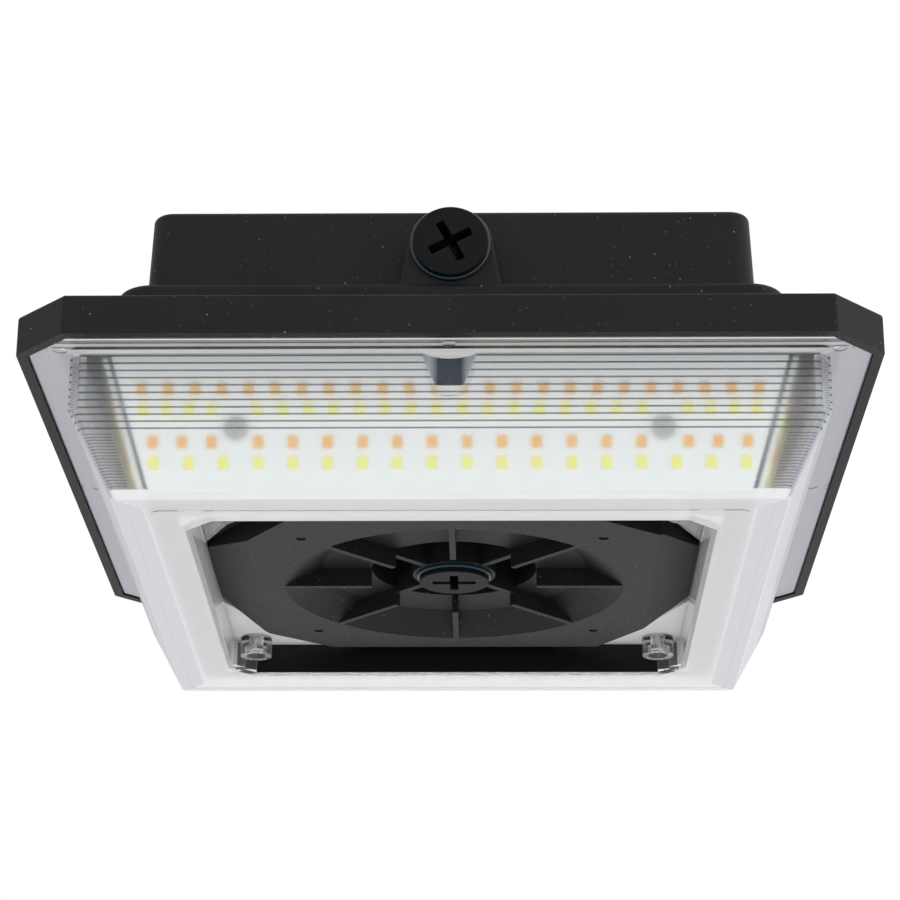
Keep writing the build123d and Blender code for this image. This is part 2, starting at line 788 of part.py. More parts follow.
def led_board():
    """Front board: a thin plate that follows the leaning side of the core."""
    top_half = board_half_length(0)
    low_half = board_half_length(board_height)
    points = ((-top_half, 0), (top_half, 0), (low_half, -board_height), (-low_half, -board_height))
    body = extrude(board_plane() * make_face(Polyline(*points, close=True)), -board_thickness)
    for x in (-board_screw_x, board_screw_x):
        hole = Cylinder(board_screw_radius + screw_clearance, 3 * board_thickness)
        body = body - board_plane() * (Pos(x, -board_screw_drop, 0) * hole)
    return body


def led_row_reach(drop, pitch, outer_pitch):
    """Distances from the middle at which a row has light sources, to each side."""
    end = board_half_length(drop) - led_end_gap
    if outer_pitch == 0:
        return [(step + 0.5) * pitch for step in range(int(end / pitch + 0.5))]
    inner_end = board_screw_x - led_screw_gap
    reach = [(step + 0.5) * pitch for step in range(int(inner_end / pitch + 0.5))]
    outer_count = int((end - led_outer_start) / outer_pitch) + 1
    return reach + [led_outer_start + step * outer_pitch for step in range(outer_count)]


def led_places(tint):
    """Places of the light sources of one tint on a board, from its top edge."""
    places = []
    for drop, pitch, outer_pitch, row_tint in led_rows:
        if row_tint != tint:
            continue
        for x in led_row_reach(drop, pitch, outer_pitch):
            places.append((-x, -drop))
            places.append((x, -drop))
    return places


def leds(tint):
    """All light sources of one tint, on the four boards."""
    solids = []
    for turn in SIDES.values():
        for x, y in led_places(tint):
            chip = Pos(x, y, 0) * Box(led_width, led_length, led_height, align=LOW)
            solids.append(Rot(0, 0, turn) * (board_plane() * chip))
    return Compound(children=solids)


def board_screws():
    """Pan head screws that hold the boards."""
    height = screw_head_height(board_screw_head_radius)
    length = board_thickness + board_screw_grip
    solids = []
    for turn in SIDES.values():
        for x in (-board_screw_x, board_screw_x):
            one = screw(board_screw_head_radius, height, board_screw_radius, length)
            solids.append(Rot(0, 0, turn) * (board_plane() * (Pos(x, -board_screw_drop, 0) * one)))
    return Compound(children=solids)


def back_cover_screws():
    """Flat head screws, flush with the ceiling face, at the corners of the cover."""
    arm_length = cover_screw_head_radius * recess_length
    arm_width = cover_screw_head_radius * recess_width
    slot_depth = cover_screw_head_height * flat_recess_depth
    slot = Box(arm_length, arm_width, 2 * slot_depth) + Box(arm_width, arm_length, 2 * slot_depth)
    length = cover_hole_length - cover_screw_end_gap - cover_seat_z
    solids = []
    for x, y in CORNERS:
        place = Pos(x * cover_post_place, y * cover_post_place, 0)
        solids.append(place * (cover_screw_form(0, length) - slot))
    return Compound(children=solids)


def lens_corner_screws():
    """Pan head screws in the corner tubes of the window, heads down."""
    length = gusset_top_z - tube_head_z + tube_screw_grip
    one = Rot(180, 0, 0) * screw(tube_screw_head_radius, tube_screw_head_height, tube_screw_radius, length)
    return Compound(children=[Pos(x * tube_centre, y * tube_centre, tube_head_z) * one for x, y in CORNERS])


def core_screws():
    """Screws that hang the core from the tabs of the housing."""
    top = seat_z + housing_tab_thickness
    height = screw_head_height(core_screw_head_radius)
    length = housing_tab_thickness + core_screw_grip - thread_end_gap
    one = Pos(0, -core_post_place, top) * screw(core_screw_head_radius, height, core_screw_radius, length)
    return Compound(children=around(one))


def floor_screws(places, z, head_radius, radius):
    """Small screws that go down into the floor of the core."""
    height = screw_head_height(head_radius)
    length = z - core_floor_z + small_screw_grip
    solids = [Pos(x, y, z) * screw(head_radius, height, radius, length) for x, y in places]
    return Compound(children=solids)


def small_screws(places, z):
    """Small screws into the floor of the core whose heads stand on a height."""
    return floor_screws(places, z, small_screw_head_radius, small_screw_radius)


def driver_case():
    """Metal case of the driver, with a tab at each end."""
    height = driver_height
    body = Box(driver_width, driver_length, height, align=LOW)
    body = body - Pos(0, 0, driver_wall) * Box(
        driver_width - 2 * driver_wall, driver_length - 2 * driver_wall, height, align=LOW
    )
    tabs = Box(driver_tab_width, driver_length + 2 * driver_tab_length, driver_wall, align=LOW)
    body = body + (tabs - Box(driver_width, driver_length - 2 * driver_wall, 3 * driver_wall))
    body = Pos(driver_x, 0, core_floor_z) * body
    for x, y, radius in floor_screw_places()[:2]:
        body = body - post(x, y, radius + screw_clearance, core_floor_z, core_floor_z + driver_wall)
    return body


def driver_lid():
    """Lid of the driver."""
    z = core_floor_z + driver_height
    lid = Box(driver_width, driver_length, driver_lid_thickness, align=LOW)
    lip_inset = 2 * (driver_wall + driver_lid_gap)
    lip = Box(driver_width - lip_inset, driver_length - lip_inset, driver_lid_lip, align=HIGH)
    return Pos(driver_x, 0, z) * (lid + lip)


def selector_module():
    """Small module with the slot for the light colour selector."""
    body = Box(selector_width, selector_depth, selector_height, align=LOW)
    foot_depth = selector_depth + 2 * selector_foot_reach
    foot = Box(selector_foot_width, foot_depth, selector_foot_thickness, align=LOW)
    slot_length_x = selector_knob_width + 2 * selector_travel + 2 * selector_running_gap
    slot_length_y = selector_knob_depth + 2 * selector_running_gap
    slot = Pos(0, 0, selector_height) * Box(slot_length_x, slot_length_y, selector_slot_depth, align=HIGH)
    body = Pos(selector_x, 0, core_floor_z) * (body + foot - slot)
    foot_top_z = core_floor_z + selector_foot_thickness
    for x, y, radius in floor_screw_places()[2:4]:
        body = body - post(x, y, radius + screw_clearance, core_floor_z, foot_top_z)
    return body


def selector_knob():
    """Sliding knob of the colour selector, in its middle place."""
    low = core_floor_z + selector_height - selector_slot_depth + selector_running_gap
    height = selector_slot_depth - selector_running_gap + selector_knob_height
    knob = Box(selector_knob_width, selector_knob_depth, height, align=LOW)
    knob = chamfer(knob.edges().group_by(Axis.Z)[-1], selector_knob_bevel)
    return Pos(selector_x, 0, low) * knob


def plug(slot_turn):
    """Threaded plug along +Z: its disc's outer face looks down, its seal's place is above the disc."""
    disc = Cylinder(plug_disc_radius, plug_disc_thickness, align=HIGH)
    disc = chamfer(disc.edges().group_by(Axis.Z)[0], plug_edge_bevel)
    stem = Cylinder(plug_radius, plug_length + seal_thickness, align=LOW)
    stem = chamfer(stem.edges().group_by(Axis.Z)[-1], plug_thread_bevel)
    slot = Box(plug_slot_length, plug_slot_width, 2 * plug_slot_depth)
    slot = slot + Box(plug_slot_width, plug_slot_length, 2 * plug_slot_depth)
    return disc + stem - Pos(0, 0, -plug_disc_thickness) * Rot(0, 0, slot_turn) * slot


def seal():
    """Round seal under the disc of a plug."""
    ring = Cylinder(seal_outer_radius, seal_thickness, align=LOW)
    ring = ring - Cylinder(plug_radius + seal_bore_clearance, seal_thickness, align=LOW)
    outer = ring.edges().filter_by(GeomType.CIRCLE).group_by(SortBy.RADIUS)[-1]
    return fillet(outer, seal_thickness * seal_round_share)


def at_front(shape):
    """Moves a plug or a seal, standing on z = 0, to the face of the front conduit boss."""
    return Pos(0, boss_face_y - seal_thickness, conduit_z) * Rot(-90, 0, 0) * shape


def at_rear(shape):
    """The same at the rear conduit boss."""
    return Rot(0, 0, 180) * at_front(shape)


def at_hub(shape):
    """The same at the hub in the middle of the bowl."""
    return Pos(0, 0, hub_face_z - seal_thickness) * shape


def build():
    """Every node and its shape."""
    ground_z = core_floor_z + ground_pad_height
    screw_places = floor_screw_places()
    driver_places = [place[:2] for place in screw_places[:2]]
    selector_places = [place[:2] for place in screw_places[2:4]]
    ground_place = [screw_places[4][:2]]
    nodes = {
        "housing": housing(),
        "light_core": light_core(),
        "core_screws": core_screws(),
        "back_cover": back_cover(),
        "back_cover_gasket": back_cover_gasket(),
        "back_cover_screws": back_cover_screws(),
        "lens": lens(),
        "lens_outer_gasket": lens_outer_gasket(),
        "lens_inner_gasket": lens_inner_gasket(),
        "lens_corner_screws": lens_corner_screws(),
        "leds_warm": leds("warm"),
        "leds_cool": leds("cool"),
        "board_screws": board_screws(),
        "driver_case": driver_case(),
        "driver_lid": driver_lid(),
        "driver_screws": small_screws(driver_places, core_floor_z + driver_wall),
        "selector_module": selector_module(),
        "selector_screws": small_screws(selector_places, core_floor_z + selector_foot_thickness),
        "colour_selector_knob": selector_knob(),
        "ground_screw": floor_screws(ground_place, ground_z, core_screw_head_radius, ground_screw_radius),
        "plug_front": at_front(plug(front_slot_turn)),
        "plug_rear": at_rear(plug(0)),
        "plug_centre": at_hub(plug(0)),
        "seal_front": at_front(seal()),
        "seal_rear": at_rear(seal()),
        "seal_centre": at_hub(seal()),
    }
    for side, turn in SIDES.items():
        nodes["led_board_" + side] = Rot(0, 0, turn) * led_board()
    return nodes


os.makedirs("parts", exist_ok=True)
for node, shape in build().items():
    export_step(shape, "parts/" + node + ".step")
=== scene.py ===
import bpy
import math
from mathutils import Matrix, Vector


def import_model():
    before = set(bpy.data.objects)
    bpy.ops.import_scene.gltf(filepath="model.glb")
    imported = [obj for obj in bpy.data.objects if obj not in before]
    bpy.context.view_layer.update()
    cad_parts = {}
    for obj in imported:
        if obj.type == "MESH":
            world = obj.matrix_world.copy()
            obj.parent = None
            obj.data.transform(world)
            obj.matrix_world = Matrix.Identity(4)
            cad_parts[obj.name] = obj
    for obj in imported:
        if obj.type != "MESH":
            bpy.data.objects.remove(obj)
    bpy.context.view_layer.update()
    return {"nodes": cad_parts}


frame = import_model()

MM = 0.001

# Heights and half widths of the lens, in metres, as the solids have them
lens_floor_z = -99.1 * MM
lens_flange_z = -57.3 * MM
lens_side_z = -74.2 * MM
lens_rim_half = 126.7 * MM
lens_side_half = 114.1 * MM
lens_floor_half = 101.2 * MM
lens_foot_height = 2.6 * MM
window_half = 80.3 * MM
window_wall_half = 82.8 * MM
window_bevel_height = 0.8 * MM
gusset_low_z = -88.1 * MM

# Grooves round the lens, marked by lines of painted shade: distance of the first below its face's top
# edge, pitch and width of the line
flute_start = 0.8 * MM
flute_pitch = 2.37 * MM
flute_line = 0.62 * MM
slope_flute_start = 0.4 * MM
slope_flute_pitch = 1.87 * MM
slope_flute_line = 0.5 * MM
slope_flute_end = 7.0 * MM

# Edges of a groove's line from its middle, as shares of its width, and of the hatch on its sine wave
line_edge = (0.35, 0.65)
hatch_wall_edge = (-0.2, 0.6)
hatch_slope_edge = (-0.3, 0.5)

# Fine hatch inside the sides and at the ends of the slopes: its pitch, where it starts beside the
# floor, how it leans outwards with height, and the distance it keeps from the flange
hatch_pitch = 0.82 * MM
hatch_start = 94.5 * MM
hatch_lean = 0.33
hatch_top_gap = 2.0 * MM

# Scoops in the middles of the sides: they narrow downwards, and carry painted shade that is dark in the
# middle
scoop_place = 120.5 * MM
scoop_radius = 10.5 * MM
scoop_taper = 0.276
scoop_low_z = -67.9 * MM
scoop_painted_dark_half = 3.5 * MM
scoop_painted_pale_half = 6.0 * MM

# Frost of the lens: how far down a frosted face of its floor looks, strength on the flange, and the
# bands of the front and rear edge, as place and level along the way inwards from the rim
frost_down = (-0.96, -0.93)
flange_frost = 1.25
flange_band_width = 14.0 * MM
flange_bands = (
    (0.0, 1.0), (0.03, 1.0), (0.06, 0.05), (0.11, 0.1), (0.15, 1.0), (0.20, 1.0), (0.22, 0.1),
    (0.36, 0.15), (0.40, 0.8), (0.53, 0.75), (0.55, 0.05), (0.67, 0.1), (0.71, 0.9), (1.0, 0.7),
)

# Masks: width over which one fades, distance it keeps from a face, depth of the outer skin of the
# lens, and the reach from which its left and right parts carry painted light and shade
fade = 0.1 * MM
face_gap = 0.3 * MM
outer_skin = 0.8 * MM
side_painted_light_start = 92 * MM
side_painted_light_full = 93 * MM

# Share of each part of the lens that scatters light instead of letting it through
haze_shares = {
    "frost": 0.58, "lines": 0.2, "hatch": 0.3, "wall": 0.62,
    # Painted light: the left and right sides scatter most, while the front and rear stay clear.
    "foot": 0.8, "side_painted_light": 0.82, "gusset": 0.42, "scoop": 0.55,
}

# Tints of the lens, laid over each other in this order with their strengths; most of them are painted
# light and shade. The scoops have two, painted shade of their recess, of which the dark one is in their
# middle
clear_tint = (0.975, 0.99, 0.995)
# Painted shade of the scoops: a grey tint at their edges and a near black one in their middle.
scoop_painted_pale = (0.52, 0.55, 0.64)
scoop_painted_dark = (0.03, 0.04, 0.06)
lens_tints = {
    # Painted light and shade on the left and right sides: a pale milky tint, then a darker grey one,
    # while the front and rear stay clear.
    "side_painted_light": (0.9, (0.72, 0.735, 0.80)),
    "side_painted_shade": (0.9, (0.52, 0.53, 0.59)),
    # Painted shade: dark lines along the grooves.
    "lines": (1.0, (0.16, 0.17, 0.19)),
    "hatch": (0.85, (0.20, 0.20, 0.22)),
    "wall": (1.0, (0.96, 0.95, 0.93)),
    # Painted shade: a dark tint in the clear bands of the front and rear flange, for the shade of the gap
    # behind them.
    "gap": (0.9, (0.08, 0.085, 0.10)),
    # Painted shade of the scoops' recess: grey at their edges, near black in their middle.
    "scoop": (1.0, None),
    # Painted shade: the rear wall of the window is tinted near black.
    "rear": (1.0, (0.001, 0.001, 0.001)),
}
frost_roughness = 0.35
side_roughness = 0.3
lens_ior = 1.33

# Camera of the photograph
camera_place = Vector((0.01221, -0.85159, -0.379008))
camera_yaw = math.radians(-0.926)
camera_pitch = math.radians(21.489)
camera_roll = math.radians(0.212)
camera_lens = 107.566
sensor_width = 36.0

# Powder coat: how far down a face looks where painted light from below makes it paler, and how much
# paler it is there. Its specks: scales of their cells, range of radius in a cell, and range of the cell's
# random number
coat_painted_light_down = (-0.995, -0.94)
coat_painted_light_down_gain = 1.5
speck_scales = (520, 1000)
speck_radius = (0.06, 0.19)
speck_chance = (0.9, 0.99)

# Strength of the soft light from the left and the right, and from below and above
light_left, light_right = 0.70, 1.26
light_below, light_above = 1.26, 0.92

# Floor under the light
floor_half = 6.0
floor_level = -1.2
floor_tone = (0.88, 0.88, 0.88)


def node_material(name):
    """A new material with a Principled shader, and its node tree."""
    made = bpy.data.materials.new(name)
    made.use_nodes = True
    tree = made.node_tree
    return made, tree, tree.nodes["Principled BSDF"]


def add(tree, kind, **settings):
    """Adds a node and sets its plain properties."""
    node = tree.nodes.new(kind)
    for key, value in settings.items():
        setattr(node, key, value)
    return node


def split(tree, vector):
    """The three parts of a vector."""
    node = add(tree, "ShaderNodeSeparateXYZ")
    tree.links.new(vector, node.inputs["Vector"])
    return node.outputs["X"], node.outputs["Y"], node.outputs["Z"]


def position(tree):
    """Place of the shaded point in the object's own metres."""
    return add(tree, "ShaderNodeTexCoord").outputs["Object"]


def upward(tree):
    """How far the surface looks up, from -1 to 1."""
    return split(tree, add(tree, "ShaderNodeNewGeometry").outputs["Normal"])[2]


def noise(tree, scale, detail):
    """Noise in the object's own metres, from 0 to 1."""
    node = add(tree, "ShaderNodeTexNoise")
    node.inputs["Scale"].default_value = scale
    node.inputs["Detail"].default_value = detail
    tree.links.new(position(tree), node.inputs["Vector"])
    return node.outputs["Fac"]


def cells(tree, scale):
    """Voronoi cells: distance, and a random number for each cell."""
    node = add(tree, "ShaderNodeTexVoronoi")
    node.inputs["Scale"].default_value = scale
    tree.links.new(position(tree), node.inputs["Vector"])
    colour = add(tree, "ShaderNodeSeparateColor")
    tree.links.new(node.outputs["Color"], colour.inputs["Color"])
    return node.outputs["Distance"], colour.outputs["Red"]


def ramp(tree, value, low, high, low_out=0.0, high_out=1.0):
    """Maps a value from one range to another, held at the ends."""
    node = add(tree, "ShaderNodeMapRange")
    ends = (("From Min", low), ("From Max", high), ("To Min", low_out), ("To Max", high_out))
    for name, number in ends:
        node.inputs[name].default_value = number
    tree.links.new(value, node.inputs["Value"])
    return node.outputs["Result"]


def spread(tree, value, low_out=0.0, high_out=1.0):
    """Maps the usual range of noise to another range."""
    return ramp(tree, value, 0.3, 0.7, low_out, high_out)


def calc(tree, operation, first, second=0.0):
    """One math step on two sockets or numbers."""
    node = add(tree, "ShaderNodeMath", operation=operation)
    for index, value in enumerate((first, second)):
        if isinstance(value, (int, float)):
            node.inputs[index].default_value = value
        else:
            tree.links.new(value, node.inputs[index])
    return node.outputs["Value"]


def product(tree, first, *others):
    """All values multiplied."""
    for other in others:
        first = calc(tree, "MULTIPLY", first, other)
    return first


def largest(tree, first, *others):
    """The largest of the values."""
    for other in others:
        first = calc(tree, "MAXIMUM", first, other)
    return first


def inverse(tree, value):
    """1 where the value is 0, and 0 where it is 1."""
    return calc(tree, "SUBTRACT", 1.0, value)


def mix_colour(tree, factor, first, second):
    """Blend of two colours, each a socket or three numbers."""
    node = add(tree, "ShaderNodeMix", data_type="RGBA")
    tree.links.new(factor, node.inputs["Factor"])
    for name, value in (("A", first), ("B", second)):
        socket = [one for one in node.inputs if one.name == name and one.type == "RGBA"][0]
        if isinstance(value, tuple):
            socket.default_value = (*value, 1.0)
        else:
            tree.links.new(value, socket)
    return [one for one in node.outputs if one.type == "RGBA"][0]


def steps(tree, value, stops):
    """Level along a value from 0 to 1, straight between stops of place and level."""
    node = add(tree, "ShaderNodeValToRGB")
    elements = node.color_ramp.elements
    elements[0].color = (stops[0][1],) * 3 + (1.0,)
    elements[1].color = (stops[-1][1],) * 3 + (1.0,)
    for place, level in stops[1:-1]:
        elements.new(place).color = (level, level, level, 1.0)
    tree.links.new(value, node.inputs["Fac"])
    return node.outputs["Color"]


def inside(tree, value, low, high):
    """1 between two values and 0 outside them."""
    above = ramp(tree, value, low - fade, low + fade)
    return product(tree, above, ramp(tree, value, high - fade, high + fade, 1.0, 0.0))


def grooves(tree, z, top, pitch, end, width):
    """1 at the grooves that follow each other down from a height."""
    way = calc(tree, "DIVIDE", calc(tree, "SUBTRACT", top, z), pitch)
    off = calc(tree, "ABSOLUTE", calc(tree, "SUBTRACT", way, calc(tree, "ROUND", way)))
    core, edge = (width / pitch * share for share in line_edge)
    line = ramp(tree, off, core, edge, 1.0, 0.0)
    return product(tree, line, inside(tree, z, end, top + width))


def bump(tree, shader, height, distance):
    """Fine relief on a shader, from a height that is worth a distance in metres."""
    node = add(tree, "ShaderNodeBump")
    node.inputs["Strength"].default_value = 1.0
    node.inputs["Distance"].default_value = distance
    tree.links.new(height, node.inputs["Height"])
    tree.links.new(node.outputs["Normal"], shader.inputs["Normal"])


def powder_coat(name, dark, light, speck, shine):
    """Fine textured powder coat with bright specks, and painted light that makes faces looking straight
    down paler.
    """
    made, tree, shader = node_material(name)
    grain = noise(tree, 2300, 3.0)
    cloud = noise(tree, 45, 3.0)
    tone = calc(tree, "ADD", ramp(tree, grain, 0.35, 0.65, 0.0, 0.55), spread(tree, cloud, 0.0, 0.45))
    base = mix_colour(tree, tone, dark, light)
    # Painted light: faces that look straight down are painted paler, as if lit from below.
    down = ramp(tree, upward(tree), *coat_painted_light_down, 1.0, 0.0)
    base = mix_colour(tree, down, base, tuple(coat_painted_light_down_gain * part for part in light))
    for scale in speck_scales:
        distance, chance = cells(tree, scale)
        near = ramp(tree, distance, *speck_radius, 1.0, 0.0)
        spot = product(tree, near, ramp(tree, chance, *speck_chance))
        base = mix_colour(tree, spot, base, (speck, speck, speck * 1.02))
    tree.links.new(base, shader.inputs["Base Color"])
    tree.links.new(spread(tree, grain, 0.42, 0.62), shader.inputs["Roughness"])
    shader.inputs["Specular IOR Level"].default_value = shine
    bump(tree, shader, grain, 0.07 * MM)
    return made


def flange_level(tree, along):
    """Frost of the front and rear edge of the lens, in bands along its rim."""
    way = calc(tree, "DIVIDE", calc(tree, "SUBTRACT", lens_rim_half, along), flange_band_width)
    return steps(tree, way, flange_bands)


def lens_frost(tree, side, along, z):
    """Where the lens is frosted: its flat underside and its flange."""
    down = ramp(tree, upward(tree), *frost_down, 1.0, 0.0)
    floor_ring = product(tree, down, inside(tree, z, lens_floor_z - 1 * MM, lens_floor_z + 0.5 * MM))
    level = largest(tree, flange_level(tree, along), side)
    at_flange = ramp(tree, z, lens_flange_z - face_gap, lens_flange_z - fade / 2)
    return largest(tree, floor_ring, product(tree, level, at_flange, flange_frost))


def outer_face(tree, reach, z):
    """1 on the outside of the lens below its flange, 0 on its inside."""
    fall = calc(tree, "MAXIMUM", calc(tree, "SUBTRACT", lens_side_z, z), 0.0)
    lean = (lens_side_half - lens_floor_half) / (lens_side_z - lens_floor_z)
    outside = calc(tree, "SUBTRACT", lens_side_half, product(tree, fall, lean))
    depth = calc(tree, "SUBTRACT", outside, reach)
    return ramp(tree, depth, outer_skin - fade, outer_skin + fade, 1.0, 0.0)


def lens_lines(tree, outer, z):
    """Thin dark lines of painted shade along the grooves round the outside."""
    top = lens_flange_z - flute_start
    side = grooves(tree, z, top, flute_pitch, lens_side_z + face_gap, flute_line)
    top = lens_side_z - slope_flute_start
    end = lens_side_z - slope_flute_end
    slope = grooves(tree, z, top, slope_flute_pitch, end, slope_flute_line)
    return product(tree, largest(tree, side, slope), outer)


def lens_hatch(tree, side, across, outer, beyond, z):
    """Fine hatch inside the left and right walls, and beside the boards on the front and rear slopes."""
    lines = calc(tree, "SINE", product(tree, z, 2 * math.pi / hatch_pitch))
    low_z = lens_floor_z + lens_foot_height
    walls = inside(tree, z, low_z, lens_flange_z - hatch_top_gap)
    inner = calc(tree, "MAXIMUM", calc(tree, "SUBTRACT", beyond, outer), 0.0)
    walls = product(tree, ramp(tree, lines, *hatch_wall_edge), side, walls, inner)
    rise = product(tree, calc(tree, "SUBTRACT", z, lens_floor_z), hatch_lean)
    edge = calc(tree, "SUBTRACT", across, calc(tree, "ADD", rise, hatch_start))
    ends = product(tree, ramp(tree, edge, 0.0, 0.5 * MM), inverse(tree, side))
    slopes = inside(tree, z, low_z, lens_side_z - slope_flute_end)
    return largest(tree, walls, product(tree, ramp(tree, lines, *hatch_slope_edge), ends, slopes, outer))


def lens_scoop(tree, aside, reach, z):
    """1 on the walls of the scoops in the middles of the sides."""
    off = calc(tree, "SUBTRACT", reach, scoop_place)
    square = calc(tree, "ADD", product(tree, aside, aside), product(tree, off, off))
    depth = calc(tree, "SUBTRACT", lens_flange_z, z)
    wide = calc(tree, "ADD", calc(tree, "SQRT", square), product(tree, depth, scoop_taper))
    near = ramp(tree, wide, scoop_radius, scoop_radius + 2 * fade, 1.0, 0.0)
    return product(tree, near, inside(tree, z, scoop_low_z, lens_flange_z - face_gap))


def lens_masks(tree):
    """Where each part of the lens is, from 0 to 1."""
    x, y, z = split(tree, position(tree))
    across = calc(tree, "ABSOLUTE", x)
    along = calc(tree, "ABSOLUTE", y)
    reach = largest(tree, across, along)
    aside = calc(tree, "MINIMUM", across, along)
    side = calc(tree, "GREATER_THAN", across, along)
    outer = outer_face(tree, reach, z)
    beyond = ramp(tree, reach, side_painted_light_start, side_painted_light_full)
    bevel_z = lens_floor_z + window_bevel_height
    above_floor = ramp(tree, z, bevel_z, bevel_z + fade)
    below_flange = ramp(tree, z, lens_flange_z - face_gap - fade, lens_flange_z - face_gap, 1.0, 0.0)
    in_wall = inside(tree, reach, window_half - 2 * fade, window_wall_half + face_gap)
    wall = product(tree, in_wall, above_floor)
    in_window = ramp(tree, reach, window_half - face_gap, window_half - fade, 1.0, 0.0)
    at_gusset = ramp(tree, z, gusset_low_z - fade, gusset_low_z)
    rim = ramp(tree, reach, lens_side_half, lens_side_half + 0.5 * MM)
    clear_band = inverse(tree, flange_level(tree, along))
    return {
        "frost": lens_frost(tree, side, along, z),
        "lines": lens_lines(tree, outer, z),
        "hatch": lens_hatch(tree, side, across, outer, beyond, z),
        "wall": wall,
        # Painted shade: the rear wall of the window, tinted near black and made opaque.
        "rear": product(tree, wall, ramp(tree, y, window_half - face_gap - fade, window_half - face_gap)),
        "foot": product(tree, outer, inside(tree, z, lens_floor_z, lens_floor_z + lens_foot_height)),
        "gusset": product(tree, in_window, at_gusset, ramp(tree, y, -1 * MM, 1 * MM)),
        # Painted light and shade on the left and right sides.
        "side_painted_light": product(tree, side, beyond, below_flange),
        "side_painted_shade": product(tree, side, beyond, above_floor),
        # Painted shade in the clear bands of the front and rear flange, for the gap behind them.
        "gap": product(tree, clear_band, inverse(tree, side), inverse(tree, below_flange), rim),
        "scoop": lens_scoop(tree, aside, reach, z),
        # Painted shade in the scoops, darkest in their middle.
        "deep": ramp(tree, aside, scoop_painted_dark_half, scoop_painted_pale_half, 1.0, 0.0),
        "blurred": product(tree, beyond, below_flange),
    }


def lens_colour(tree, masks):
    """Colour of the lens: clear, with tints laid over it."""
    colour = clear_tint
    for part, (strength, tint) in lens_tints.items():
        # Painted shade in the scoops: grey at their edges, near black in their middle.
        tint = tint or mix_colour(tree, masks["deep"], scoop_painted_pale, scoop_painted_dark)
        colour = mix_colour(tree, product(tree, masks[part], strength), colour, tint)
    return colour


def clear_lens():
    """Clear polycarbonate with a slight haze, frosted on its floor ring and flange, hazy at its sides,
    with painted light and shade laid on as tints and haze.
    """
    made, tree, shader = node_material("clear_lens")
    masks = lens_masks(tree)
    fine = noise(tree, 1400, 2.0)
    haze = spread(tree, noise(tree, 90, 3.0), 0.04, 0.08)
    for part, share in haze_shares.items():
        haze = calc(tree, "ADD", haze, product(tree, masks[part], share))
    # Painted shade: the rear window wall lets no light through.
    haze = largest(tree, calc(tree, "MINIMUM", haze, 1.0), masks["rear"])
    tree.links.new(inverse(tree, haze), shader.inputs["Transmission Weight"])
    soft = largest(tree, masks["frost"], masks["gusset"], masks["rear"])
    rough = calc(tree, "ADD", product(tree, soft, frost_roughness), spread(tree, fine, 0.04, 0.08))
    rough = largest(tree, rough, product(tree, masks["blurred"], side_roughness))
    tree.links.new(rough, shader.inputs["Roughness"])
    tree.links.new(lens_colour(tree, masks), shader.inputs["Base Color"])
    shader.inputs["IOR"].default_value = lens_ior
    bump(tree, shader, fine, 0.004 * MM)
    return made


def spangled(name, colour):
    """Galvanised steel with its patches of crystals."""
    made, tree, shader = node_material(name)
    _, patch = cells(tree, 210)
    fine = noise(tree, 1500, 2.0)
    low = tuple(part * 0.78 for part in colour)
    high = tuple(part * 1.12 for part in colour)
    tree.links.new(mix_colour(tree, patch, low, high), shader.inputs["Base Color"])
    rough = calc(tree, "ADD", ramp(tree, patch, 0.0, 1.0, 0.28, 0.46), spread(tree, fine, 0.0, 0.06))
    tree.links.new(rough, shader.inputs["Roughness"])
    shader.inputs["Metallic"].default_value = 1.0
    bump(tree, shader, patch, 0.01 * MM)
    return made


def phosphor(name, deep, pale):
    """Light source: phosphor that varies a little between two tones."""
    made, tree, shader = node_material(name)
    fine = noise(tree, 2600, 3.0)
    wide = ramp(tree, noise(tree, 120, 1.0), 0.35, 0.65, 0.0, 0.4)
    tone = calc(tree, "ADD", spread(tree, fine, 0.0, 0.35), wide)
    tree.links.new(mix_colour(tree, tone, deep, pale), shader.inputs["Base Color"])
    tree.links.new(spread(tree, fine, 0.3, 0.45), shader.inputs["Roughness"])
    bump(tree, shader, fine, 0.04 * MM)
    return made


def plain(name, colour, roughness, metallic=0.0, grain_scale=900, grain=0.06):
    """A finish with fine grain in tone, gloss and relief."""
    made, tree, shader = node_material(name)
    fine = noise(tree, grain_scale, 3.0)
    low = tuple(part * (1 - grain) for part in colour)
    high = tuple(min(1.0, part * (1 + grain)) for part in colour)
    tree.links.new(mix_colour(tree, spread(tree, fine), low, high), shader.inputs["Base Color"])
    rough = spread(tree, fine, roughness * 0.85, roughness * 1.15)
    tree.links.new(rough, shader.inputs["Roughness"])
    shader.inputs["Metallic"].default_value = metallic
    bump(tree, shader, fine, 0.02 * MM)
    return made


def dress(material, *names):
    """Gives CAD nodes a material."""
    for name in names:
        mesh = frame["nodes"][name].data
        mesh.materials.clear()
        mesh.materials.append(material)


def pass_light(name):
    """Lets soft light through a clear node to what stands behind it."""
    clear = frame["nodes"][name]
    clear.visible_shadow = False
    clear.visible_diffuse = False


def dress_housing():
    """Coated castings, plugs and their seals, and the cover with its gasket."""
    dress(powder_coat("black_coat", (0.006, 0.006, 0.0062), (0.0115, 0.0113, 0.0118), 0.22, 0.2),
          "housing", "light_core")
    dress(powder_coat("black_plug", (0.004, 0.004, 0.0042), (0.007, 0.007, 0.0073), 0.05, 0.12),
          "plug_front", "plug_rear", "plug_centre")
    dress(plain("teal_rubber", (0.008, 0.035, 0.055), 0.2), "seal_front", "seal_rear", "seal_centre")
    dress(plain("dark_rubber", (0.02, 0.02, 0.02), 0.6),
          "back_cover_gasket", "lens_outer_gasket", "lens_inner_gasket")
    dress(spangled("galvanised", (0.52, 0.53, 0.54)), "back_cover")


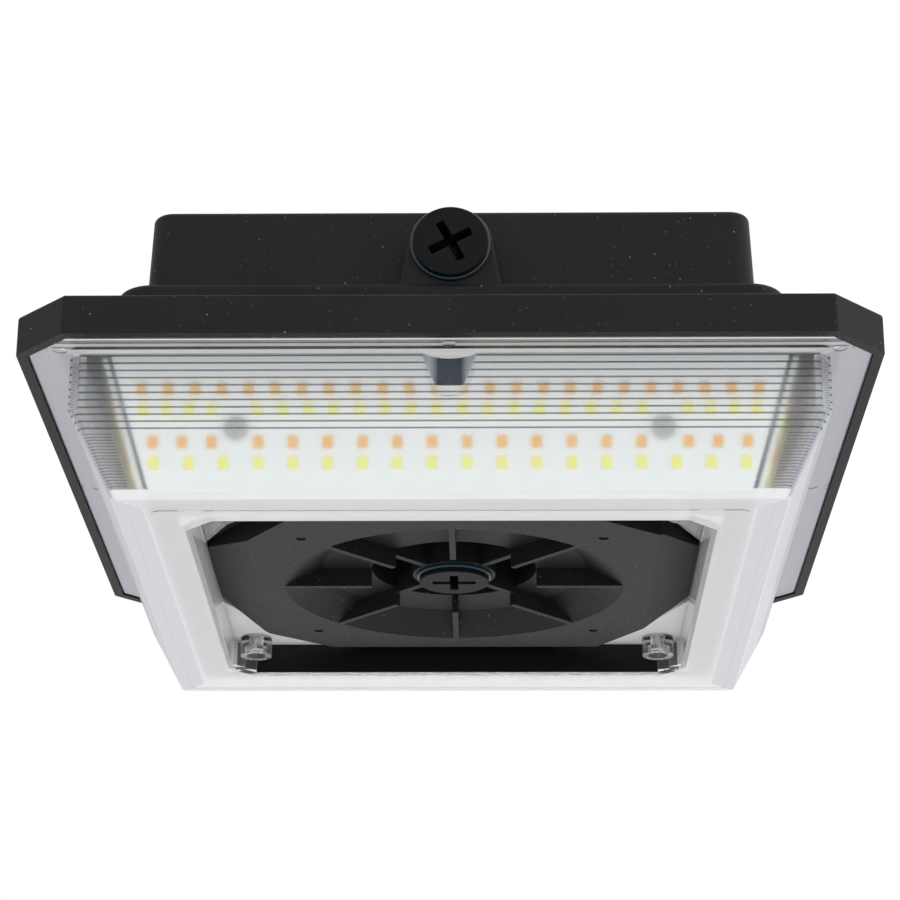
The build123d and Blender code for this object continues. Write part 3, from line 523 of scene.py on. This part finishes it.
def dress_optics():
    """Lens, boards and light sources."""
    dress(clear_lens(), "lens")
    pass_light("lens")
    dress(plain("white_board", (0.945, 0.985, 0.985), 0.5, grain=0.01),
          "led_board_front", "led_board_rear", "led_board_left", "led_board_right")
    dress(phosphor("warm_phosphor", (1.0, 0.47, 0.06), (1.0, 0.60, 0.14)), "leds_warm")
    dress(phosphor("cool_phosphor", (1.0, 0.97, 0.10), (1.0, 1.0, 0.24)), "leds_cool")


def dress_inside():
    """Screws, driver and colour selector."""
    dress(plain("stainless", (0.6, 0.6, 0.59), 0.25, 1.0), "lens_corner_screws")
    dress(plain("zinc_steel", (0.55, 0.55, 0.53), 0.35, 1.0),
          "core_screws", "board_screws", "driver_screws", "selector_screws", "back_cover_screws")
    dress(plain("driver_metal", (0.6, 0.6, 0.6), 0.4, 1.0), "driver_case", "driver_lid")
    dress(plain("black_plastic", (0.02, 0.02, 0.02), 0.5), "selector_module")
    dress(plain("white_plastic", (0.8, 0.8, 0.78), 0.5), "colour_selector_knob")
    dress(plain("green_screw", (0.05, 0.3, 0.1), 0.4, 0.8), "ground_screw")


def camera():
    """Camera at the photograph's place: below and in front, looking up at the lens."""
    level_ahead = Vector((math.sin(camera_yaw), math.cos(camera_yaw), 0.0))
    ahead = math.cos(camera_pitch) * level_ahead + Vector((0.0, 0.0, math.sin(camera_pitch)))
    level = Vector((math.cos(camera_yaw), -math.sin(camera_yaw), 0.0))
    upright = level.cross(ahead)
    right = math.cos(camera_roll) * level + math.sin(camera_roll) * upright
    up = math.cos(camera_roll) * upright - math.sin(camera_roll) * level
    data = bpy.data.cameras.new("camera")
    data.sensor_width = sensor_width
    data.lens = camera_lens
    eye = bpy.data.objects.new("camera", data)
    bpy.context.scene.collection.objects.link(eye)
    turn = Matrix((right, up, -ahead)).transposed().to_4x4()
    eye.matrix_world = Matrix.Translation(camera_place) @ turn
    bpy.context.scene.camera = eye


def world():
    """Soft light all round, stronger from the right and a little from below, white where it is seen."""
    made = bpy.data.worlds.new("studio")
    made.use_nodes = True
    tree = made.node_tree
    x, _, z = split(tree, add(tree, "ShaderNodeTexCoord").outputs["Generated"])
    sideways = ramp(tree, x, -1.0, 1.0, light_left, light_right)
    upright = ramp(tree, z, -1.0, 1.0, light_below, light_above)
    level = product(tree, sideways, upright)
    seen = add(tree, "ShaderNodeLightPath").outputs["Is Camera Ray"]
    background = tree.nodes["Background"]
    tree.links.new(largest(tree, level, seen), background.inputs["Strength"])
    background.inputs["Color"].default_value = (1.0, 1.0, 1.0, 1.0)
    bpy.context.scene.world = made


def floor():
    """Pale floor under the light."""
    mesh = bpy.data.meshes.new("floor")
    outline = ((-1, -1), (1, -1), (1, 1), (-1, 1))
    corners = [(x * floor_half, y * floor_half, floor_level) for x, y in outline]
    mesh.from_pydata(corners, [], [(0, 1, 2, 3)])
    ground = bpy.data.objects.new("floor", mesh)
    bpy.context.scene.collection.objects.link(ground)
    mesh.materials.append(plain("floor", floor_tone, 0.8, grain_scale=30, grain=0.01))


camera()
world()
floor()
bpy.context.scene.view_settings.view_transform = "Standard"
dress_housing()
dress_optics()
dress_inside()
